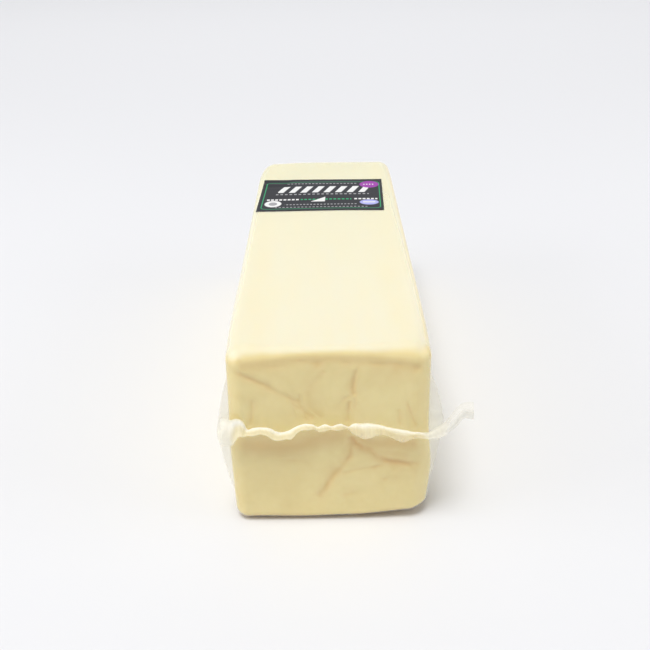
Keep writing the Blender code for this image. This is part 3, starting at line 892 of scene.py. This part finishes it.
def make_cheese_finish(mottle):
    """Pale aged cheddar: dense and faintly mottled, with painted shade in its creases, hollows
    and underside, and a painted sheen on its top that dims towards the far end.
    """
    finish, tree, place = new_finish("aged_cheddar")
    patches = use_group(tree, mottle, Vector=place, Scale=CURD_PATCHES)
    grain = use_group(tree, mottle, Vector=place, Scale=CURD_GRAIN)
    marks = add_node(tree, "ShaderNodeTexNoise", {
        "Vector": stretched(tree, place, WIRE_MARKS), "Scale": 1.0,
        "Detail": 2.0}).outputs["Fac"]
    shade = maths(tree, "ADD", maths(tree, "MULTIPLY", patches, PATCH_SHARE),
                  maths(tree, "MULTIPLY", grain, GRAIN_SHARE))
    shade = maths(tree, "ADD", shade, maths(tree, "MULTIPLY", marks, MARK_SHARE))
    warm = maths(tree, "MULTIPLY", shade, WARM_SHARE, clamp=True)
    curd = tint(tree, warm, PALE_CURD, WARM_CURD)
    # Painted shade in the creases, hollows and underside.
    colour = tint(tree, mask_of(tree, "crease"), curd, CREASE_SHADE_CURD)
    # Painted sheen on the top, dimmer towards the far end.
    pale = tint(tree, mask_of(tree, "far"), SHEEN_TOP_CURD, SHEEN_FAR_CURD)
    colour = tint(tree, mask_of(tree, "pale"), colour, pale)
    height = maths(tree, "ADD", maths(tree, "MULTIPLY", grain, 0.4),
                   maths(tree, "MULTIPLY", marks, 0.6))
    bump = add_node(tree, "ShaderNodeBump", {
        "Height": height, "Strength": 0.35, "Distance": CURD_BUMP})
    rough = maths(tree, "MULTIPLY_ADD", grain, 0.12, CURD_ROUGHNESS)
    skin = add_node(tree, "ShaderNodeBsdfPrincipled", {
        "Base Color": colour, "Roughness": rough, "Normal": bump.outputs["Normal"],
        "Subsurface Weight": 0.2, "Subsurface Radius": LIGHT_SPREAD,
        "Subsurface Scale": LIGHT_DEPTH, "Specular IOR Level": 0.3})
    show(tree, skin.outputs[0])
    return finish


FILM_MILK = (0.99, 0.985, 0.94, 1.0)
FILM_CREAM = (0.93, 0.88, 0.68, 1.0)
FILM_CLEAR = (0.99, 0.985, 0.965, 1.0)
MIRROR_WHITE = (1.0, 1.0, 1.0, 1.0)
# How much the film mirrors: seen squarely, how fast that grows aslant, and at most.
SQUARE_MIRROR = 0.08
MIRROR_GROWTH = 5.0
MOST_MIRROR = 0.28
FILM_ROUGHNESS = 0.42
# How much light goes through the milky parts rather than back off them.
MILK_GLOW = 0.4


def make_film_finish(name, folds, draw, depth, haze, sheen):
    """Clear film: it lets light through, mirrors a little, and is milky in folds."""
    finish, tree, place = new_finish(name)
    drawn = use_group(tree, folds, Vector=stretched(tree, place, draw), Scale=1.0)
    bump = add_node(tree, "ShaderNodeBump", {
        "Height": drawn, "Strength": 0.6, "Distance": depth})
    normal = bump.outputs["Normal"]
    glance = add_node(tree, "ShaderNodeLayerWeight", {"Blend": 0.5})
    steep = maths(tree, "POWER", glance.outputs["Facing"], MIRROR_GROWTH)
    mirror = maths(tree, "MULTIPLY_ADD", steep, sheen, SQUARE_MIRROR)
    mirror = maths(tree, "MINIMUM", mirror, MOST_MIRROR)
    outside = maths(tree, "SUBTRACT", 1.0,
                    add_node(tree, "ShaderNodeNewGeometry").outputs["Backfacing"])
    clear = add_node(tree, "ShaderNodeBsdfTransparent", {"Color": FILM_CLEAR})
    gloss = add_node(tree, "ShaderNodeBsdfAnisotropic", {
        "Color": MIRROR_WHITE, "Roughness": FILM_ROUGHNESS, "Normal": normal})
    pane = add_node(tree, "ShaderNodeMixShader", {
        0: maths(tree, "MULTIPLY", mirror, outside), 1: clear.outputs[0], 2: gloss.outputs[0]})
    shade = tint(tree, mask_of(tree, "cream"), FILM_MILK, FILM_CREAM)
    milk = add_node(tree, "ShaderNodeBsdfPrincipled", {
        "Base Color": shade, "Roughness": 0.4, "Normal": normal,
        "Specular IOR Level": 0.4})
    glow = add_node(tree, "ShaderNodeBsdfTranslucent", {"Color": shade, "Normal": normal})
    cloud = add_node(tree, "ShaderNodeMixShader", {
        0: MILK_GLOW, 1: milk.outputs[0], 2: glow.outputs[0]})
    cloudy = maths(tree, "ADD", mask_of(tree, "milk"), haze, clamp=True)
    film = add_node(tree, "ShaderNodeMixShader", {
        0: cloudy, 1: pane.outputs[0], 2: cloud.outputs[0]})
    show(tree, film.outputs[0])
    return finish


# ---- the label's print

CHARCOAL = (0.036, 0.037, 0.042, 1.0)
WORN_CHARCOAL = (0.052, 0.053, 0.058, 1.0)
PRINT_WHITE = (0.80, 0.80, 0.79, 1.0)
PRINT_GREY = (0.36, 0.36, 0.37, 1.0)
PRINT_GREEN = (0.05, 0.36, 0.16, 1.0)
PRINT_PURPLE = (0.33, 0.07, 0.38, 1.0)
PRINT_LAVENDER = (0.42, 0.43, 0.78, 1.0)

# The frame line, in mm from the label's middle: left, right, near and far, as in
# every box of print, then the line's width and its corners' radius.
FRAME_BOX = (-36.2, 36.8, -27.4, 25.0)
FRAME_WIDTH = 0.55
FRAME_CORNER = 3.2
# How soft the edges of bars and of the frame line are, in mm, and an oval's, as a share.
PRINT_SOFT = 0.12
FRAME_SOFT = 0.1
OVAL_SOFT = 0.06
PAPER_PATCHES = 55.0
PAPER_BUMP = 0.3 * MM
PAPER_ROUGHNESS = 0.42


def within(tree, value, low, high, soft=PRINT_SOFT):
    """1 where a value lies between two limits, with soft ends."""
    middle = (low + high) / 2
    away = maths(tree, "ABSOLUTE", maths(tree, "SUBTRACT", value, middle))
    over = maths(tree, "SUBTRACT", (high - low) / 2 + soft, away)
    return maths(tree, "DIVIDE", over, 2 * soft, clamp=True)


def patch(tree, u, v, box):
    """A filled rectangle of print."""
    left, right, near, far = box
    return maths(tree, "MULTIPLY", within(tree, u, left, right), within(tree, v, near, far))


def length_of(tree, first, second):
    """The length of a slanted line from its two sides."""
    square = maths(tree, "ADD", maths(tree, "POWER", first, 2.0),
                   maths(tree, "POWER", second, 2.0))
    return maths(tree, "SQRT", square)


def oval(tree, u, v, middle, radii):
    """A filled oval of print."""
    across = maths(tree, "DIVIDE", maths(tree, "SUBTRACT", u, middle[0]), radii[0])
    along = maths(tree, "DIVIDE", maths(tree, "SUBTRACT", v, middle[1]), radii[1])
    inside = maths(tree, "SUBTRACT", 1.0 + OVAL_SOFT, length_of(tree, across, along))
    return maths(tree, "DIVIDE", inside, 2 * OVAL_SOFT, clamp=True)


def frame_line(tree, u, v):
    """The line of print that runs round the label, with rounded corners."""
    left, right, near, far = FRAME_BOX
    sides = []
    for value, low, high in ((u, left, right), (v, near, far)):
        centred = maths(tree, "ABSOLUTE", maths(tree, "SUBTRACT", value, (low + high) / 2))
        inner = (high - low) / 2 - FRAME_CORNER
        sides.append(maths(tree, "MAXIMUM", maths(tree, "SUBTRACT", centred, inner), 0.0))
    outside = maths(tree, "SUBTRACT", length_of(tree, *sides), FRAME_CORNER)
    return within(tree, outside, -FRAME_WIDTH / 2, FRAME_WIDTH / 2, FRAME_SOFT)


def dashes(tree, u, v, box, pitch, share, lean=0.0):
    """A row of bars at an even pitch, each leaning over by a share of its height."""
    leaning = maths(tree, "SUBTRACT", u, maths(tree, "MULTIPLY", v, lean))
    step = maths(tree, "FRACT", maths(tree, "DIVIDE", leaning, pitch))
    bars = maths(tree, "DIVIDE", maths(tree, "SUBTRACT", share, step), 0.08, clamp=True)
    return maths(tree, "MULTIPLY", bars, patch(tree, u, v, box))


def wedge(tree, u, v, tip, length, height):
    """A plain wedge lying on its side, like a cut of cheese."""
    along = maths(tree, "DIVIDE", maths(tree, "SUBTRACT", u, tip[0]), length)
    rise = maths(tree, "MULTIPLY", along, height)
    over = maths(tree, "SUBTRACT", v, tip[1])
    under_slope = maths(tree, "DIVIDE", maths(tree, "SUBTRACT", rise, over), 0.3, clamp=True)
    above_base = maths(tree, "GREATER_THAN", over, 0.0)
    inside = maths(tree, "MULTIPLY", under_slope, above_base)
    return maths(tree, "MULTIPLY", inside, within(tree, along, 0.0, 1.0, 0.02))


# The print, layer by layer: what it is, its measures in mm, and its ink. Dashes give
# their box, pitch, share and lean, ovals their middle and radii, and the wedge its tip,
# length and height.
PRINT = (
    (frame_line, (), PRINT_GREEN),
    (dashes, ((-23.5, 22.5, 20.9, 22.2), 2.3, 0.66), PRINT_GREY),
    (dashes, ((-27.9, 29.8, 3.2, 15.6), 7.4, 0.58, 0.32), PRINT_WHITE),
    (dashes, ((-30, 30, -1.2, 0.6), 2.9, 0.6), PRINT_GREY),
    (dashes, ((-34.6, -13.8, -11.6, -9.2), 2.6, 0.72), PRINT_WHITE),
    (dashes, ((-12.6, 19, -11.4, -9.4), 2.6, 0.7), PRINT_GREEN),
    (dashes, ((20.4, 35.2, -11.4, -9), 2.6, 0.72), PRINT_WHITE),
    (wedge, ((-6.4, -14.6), 9, 9), PRINT_WHITE),
    (dashes, ((-22, 22.5, -20.6, -19.2), 2.1, 0.6), PRINT_GREY),
    (dashes, ((-28.2, 28.8, -25.3, -24.1), 2.3, 0.6), PRINT_GREY),
    (oval, ((30.4, 19.2), (6.2, 7)), PRINT_PURPLE),
    (dashes, ((26.6, 34, 18.4, 20.2), 1.9, 0.5), PRINT_WHITE),
    (oval, ((-29.4, -18), (5.2, 5.8)), PRINT_WHITE),
    (oval, ((-29.4, -18), (2.6, 3)), PRINT_GREY),
    (oval, ((30, -16.6), (5.8, 4.8)), PRINT_LAVENDER),
    (patch, ((26.2, 33.8, -17.4, -15.6),), PRINT_WHITE),
)


def make_label_finish(mottle):
    """Charcoal paper with a plain printed pattern of bars, ovals and a frame line."""
    finish, tree, place = new_finish("printed_label")
    sheet = add_node(tree, "ShaderNodeUVMap", uv_map="UVMap").outputs["UV"]
    split = add_node(tree, "ShaderNodeSeparateXYZ", {"Vector": sheet}).outputs
    u, v = [maths(tree, "MULTIPLY", maths(tree, "SUBTRACT", split[axis], 0.5), side / MM)
            for axis, side in (("X", LABEL_WIDTH), ("Y", LABEL_DEPTH))]
    patches = use_group(tree, mottle, Vector=place, Scale=PAPER_PATCHES)
    colour = tint(tree, maths(tree, "MULTIPLY", patches, 0.5), CHARCOAL, WORN_CHARCOAL)
    for shape, measures, ink in PRINT:
        colour = tint(tree, shape(tree, u, v, *measures), colour, ink)
    bump = add_node(tree, "ShaderNodeBump", {
        "Height": patches, "Strength": 0.3, "Distance": PAPER_BUMP})
    rough = maths(tree, "MULTIPLY_ADD", patches, 0.10, PAPER_ROUGHNESS)
    skin = add_node(tree, "ShaderNodeBsdfPrincipled", {
        "Base Color": colour, "Roughness": rough, "Normal": bump.outputs["Normal"],
        "Specular IOR Level": 0.02})
    show(tree, skin.outputs[0])
    return finish


# ---- studio

TABLE_COLOUR = (0.775, 0.777, 0.795, 1.0)
TABLE_SIZE = 12
AIR_COLOUR = (0.98, 0.985, 1.0, 1.0)
LOAF_MIDDLE = (0.0, 0.0, 0.05)
# Lamps: where each is, what it faces, its width and height, and its power.
LAMPS = {
    "overhead": ((-0.05, -0.10, 1.35), LOAF_MIDDLE, (1.2, 1.2), 2.3),
    "from_left": ((-1.0, -0.25, 0.45), LOAF_MIDDLE, (0.6, 0.6), 2.5),
    "from_right": ((1.0, -0.25, 0.45), LOAF_MIDDLE, (0.6, 0.6), 1.9),
    "far_table": ((0.0, 1.5, 1.3), (0.0, 1.5, 0.0), (2.6, 0.8), 1.2),
}
# How wide the lamp over the far table throws its light.
FAR_TABLE_THROW = math.radians(110)
# The main light, broad and far off: its power, how wide it is, and where it points.
KEY_POWER = 1.95
KEY_SPREAD = math.radians(24)
KEY_AIM = (0.16, 0.265, -1.0)
# How bright the air is as light, as the film mirrors it, and as the camera sees it.
PLAIN_AIR = 0.36
MIRRORED_AIR = 1.25
SEEN_AIR = 0.86


def make_floor():
    """A plain pale table top."""
    finish, tree, _ = new_finish("pale_table")
    paint = add_node(tree, "ShaderNodeBsdfPrincipled", {
        "Base Color": TABLE_COLOUR, "Roughness": 0.9, "Specular IOR Level": 0.1})
    show(tree, paint.outputs[0])
    bpy.ops.object.select_all(action="DESELECT")
    bpy.ops.mesh.primitive_plane_add(size=TABLE_SIZE)
    floor = bpy.context.object
    floor.name = "table"
    floor.data.materials.append(finish)


def hang_light(name, lamp, aim):
    """Put a lamp in the scene, facing along a line."""
    holder = bpy.data.objects.new(name, lamp)
    bpy.context.scene.collection.objects.link(holder)
    holder.rotation_euler = Vector(aim).to_track_quat("-Z", "Y").to_euler()
    return holder


def add_soft_light(name, place, target, size, power):
    """A rectangular lamp, width by height, that faces a point."""
    lamp = bpy.data.lights.new(name, "AREA")
    lamp.shape = "RECTANGLE"
    lamp.size, lamp.size_y = size
    lamp.energy = power
    holder = hang_light(name, lamp, Vector(target) - Vector(place))
    holder.location = place
    holder.visible_camera = False
    return lamp


def add_key_light():
    """Soft light from above and behind the camera, which casts the shadow."""
    key = bpy.data.lights.new("key", "SUN")
    key.energy = KEY_POWER
    key.angle = KEY_SPREAD
    hang_light("key", key, KEY_AIM).visible_glossy = False


def fill_air():
    """Pale air all round: plain as light, brighter in the film's mirror and to the eye."""
    world = bpy.data.worlds.new("pale_air")
    bpy.context.scene.world = world
    world.use_nodes = True
    tree = world.node_tree
    air = tree.nodes["Background"]
    air.inputs["Color"].default_value = AIR_COLOUR
    path = add_node(tree, "ShaderNodeLightPath").outputs
    mirrored = maths(tree, "MULTIPLY", path["Is Glossy Ray"], MIRRORED_AIR - PLAIN_AIR)
    seen = maths(tree, "MULTIPLY", path["Is Camera Ray"], SEEN_AIR - PLAIN_AIR)
    strength = maths(tree, "ADD", maths(tree, "ADD", mirrored, seen), PLAIN_AIR)
    tree.links.new(strength, air.inputs["Strength"])


def make_lights():
    """The lamps, the main light and the air."""
    lamps = {name: add_soft_light(name, *values) for name, values in LAMPS.items()}
    lamps["far_table"].spread = FAR_TABLE_THROW
    add_key_light()
    fill_air()


def make_camera():
    """The photograph's viewpoint."""
    level = Vector((math.cos(CAMERA_YAW), math.sin(CAMERA_YAW), 0.0))
    ahead = Vector((-math.sin(CAMERA_YAW), math.cos(CAMERA_YAW), 0.0))
    up = Vector((0.0, 0.0, 1.0))
    forward = math.cos(CAMERA_PITCH) * ahead - math.sin(CAMERA_PITCH) * up
    upward = math.sin(CAMERA_PITCH) * ahead + math.cos(CAMERA_PITCH) * up
    across = math.cos(CAMERA_ROLL) * level + math.sin(CAMERA_ROLL) * upward
    above = math.cos(CAMERA_ROLL) * upward - math.sin(CAMERA_ROLL) * level
    camera = bpy.data.objects.new("camera", bpy.data.cameras.new("camera"))
    camera.data.sensor_width = SENSOR
    camera.data.lens = CAMERA_FOCUS / FRAME_SIDE * SENSOR
    camera.data.clip_start = 0.01
    turned = Matrix((across, above, -forward)).transposed().to_4x4()
    camera.matrix_world = Matrix.Translation(CAMERA_PLACE) @ turned
    bpy.context.scene.collection.objects.link(camera)
    bpy.context.scene.camera = camera


def set_exposure():
    """Plain tones, neither lifted nor lowered."""
    look = bpy.context.scene.view_settings
    look.view_transform = "Standard"
    look.exposure = 0.0


def main():
    """Make the loaf, its film and its label, then the studio round them."""
    mottle = make_mottle_group()
    folds = make_folds_group()
    make_camera()
    make_cheese(make_cheese_finish(mottle))
    tight = make_film_finish("clear_film", folds, draw=(160.0, 9.0, 60.0),
                             depth=0.07 * MM, haze=0.02, sheen=1.0)
    loose = make_film_finish("milky_film", folds, draw=(90.0, 90.0, 90.0),
                             depth=0.1 * MM, haze=0.03, sheen=0.3)
    make_film_skin(tight)
    make_seal("front_seal", FRONT_SEAM, FRONT, "film_front_seal", loose)
    make_seal("rear_seal", REAR_SEAM, REAR, "film_rear_seal", loose)
    for end, word, ears in ((FRONT, "front", FRONT_EARS), (REAR, "rear", REAR_EARS)):
        for side, hand in ((LEFT, "left"), (RIGHT, "right")):
            make_ear(f"{word}_ear_{hand}", side, end, ears[side], f"film_{word}_seal", loose)
    make_label(make_label_finish(mottle))
    make_floor()
    make_lights()
    set_exposure()


main()
